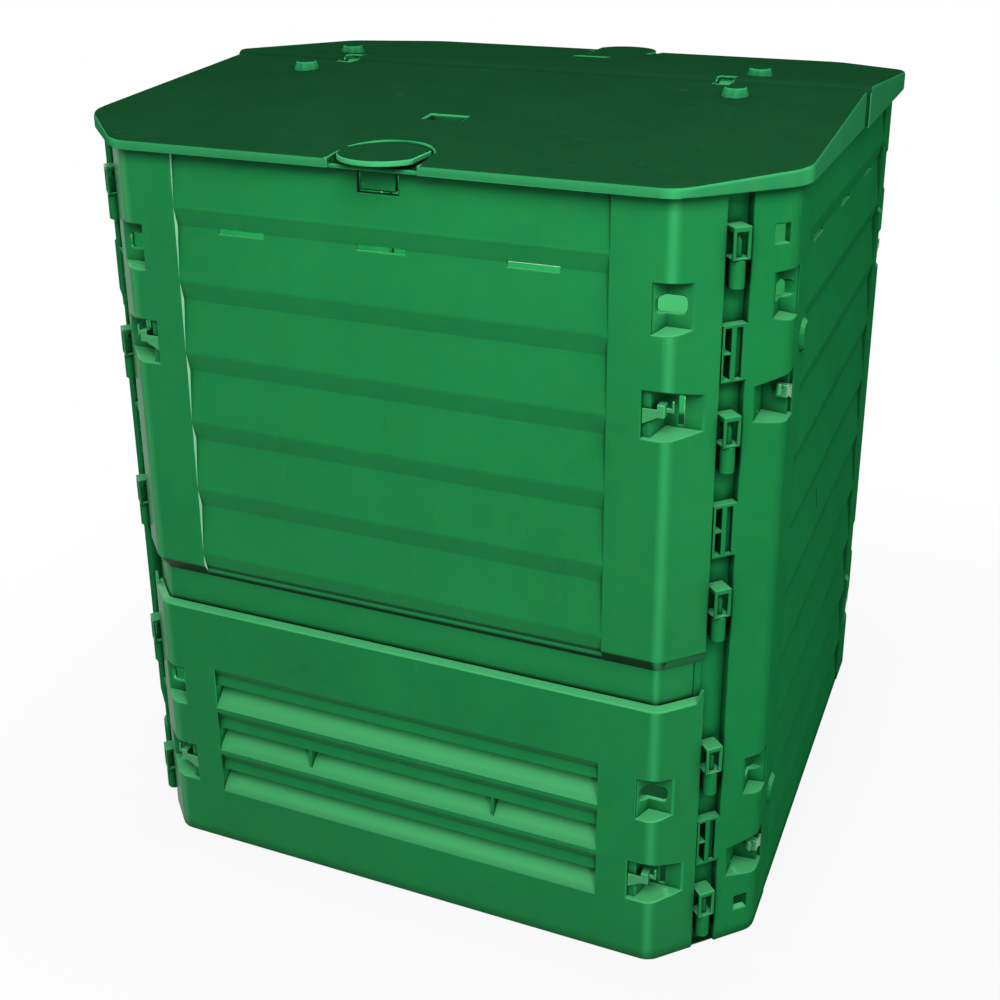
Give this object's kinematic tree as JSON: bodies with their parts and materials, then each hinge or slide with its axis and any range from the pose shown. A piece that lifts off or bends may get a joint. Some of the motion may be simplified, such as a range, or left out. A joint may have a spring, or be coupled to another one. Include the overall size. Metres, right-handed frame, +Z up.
{
  "type": "compost bin",
  "caption": "Tall square compost bin with slatted walls, lift-off louvred doors at the foot, air slots and a shallow gabled lid in two hinged halves with turning knobs.",
  "frame": {"origin": "centre of the bin's footprint, on the ground that it stands on", "axes": "+Z up; -Y towards the front, where one louvred door is; +X towards the right-hand wall as seen from the front"},
  "size_m": [0.756, 0.782, 0.8425],
  "materials": {
    "wall_green": "satin",
    "door_green": "satin",
    "lid_green": "satin",
    "clip_green": "satin",
    "inner_green": "satin"
  },
  "bodies": {
    "bin": {"right_wall": "wall_green", "left_wall": "wall_green", "front_upper_wall": "wall_green", "back_upper_wall": "wall_green", "ridge_beam": "inner_green", "front_hinge_pin_left": "inner_green", "front_hinge_pin_right": "inner_green", "rear_hinge_pin_left": "inner_green", "rear_hinge_pin_right": "inner_green", "left_upper_clip_a": "clip_green", "left_upper_clip_b": "clip_green", "left_lower_clip_a": "clip_green", "left_lower_clip_b": "clip_green", "right_upper_clip_a": "clip_green", "right_upper_clip_b": "clip_green", "right_lower_clip_a": "clip_green", "right_lower_clip_b": "clip_green", "front_upper_clip_a": "clip_green", "front_upper_clip_b": "clip_green", "back_upper_clip_a": "clip_green", "back_upper_clip_b": "clip_green"},
    "front_door": {"front_door": "door_green", "front_lower_clip_a": "clip_green", "front_lower_clip_b": "clip_green"},
    "back_door": {"back_door": "door_green", "back_lower_clip_a": "clip_green", "back_lower_clip_b": "clip_green"},
    "front_lid": {"front_lid": "lid_green"},
    "rear_lid": {"rear_lid": "lid_green"},
    "front_knob": {"front_knob": "lid_green", "front_knob_retainer": "inner_green"},
    "rear_knob": {"rear_knob": "lid_green", "rear_knob_retainer": "inner_green"}
  },
  "joints": [
    {"name": "front_lid_hinge", "type": "hinge", "parent": "bin", "child": "front_lid", "pos_m": [0, -0.0075, 0.8275], "axis": [-1, 0, 0], "range_deg": [0, 80]},
    {"name": "rear_lid_hinge", "type": "hinge", "parent": "bin", "child": "rear_lid", "pos_m": [0, 0.0115, 0.8275], "axis": [1, 0, 0], "range_deg": [0, 80]},
    {"name": "front_knob_turn", "type": "hinge", "parent": "front_lid", "child": "front_knob", "pos_m": [0, -0.348, 0.806], "axis": [0, 0, -1], "range_deg": [0, 90]},
    {"name": "rear_knob_turn", "type": "hinge", "parent": "rear_lid", "child": "rear_knob", "pos_m": [0, 0.348, 0.8105], "axis": [0, 0, -1], "range_deg": [0, 90]},
    {"name": "front_door_lift", "type": "slide", "parent": "bin", "child": "front_door", "axis": [0, 0, 1], "range_m": [0, 0.028]},
    {"name": "back_door_lift", "type": "slide", "parent": "bin", "child": "back_door", "axis": [0, 0, 1], "range_m": [0, 0.028]}
  ]
}
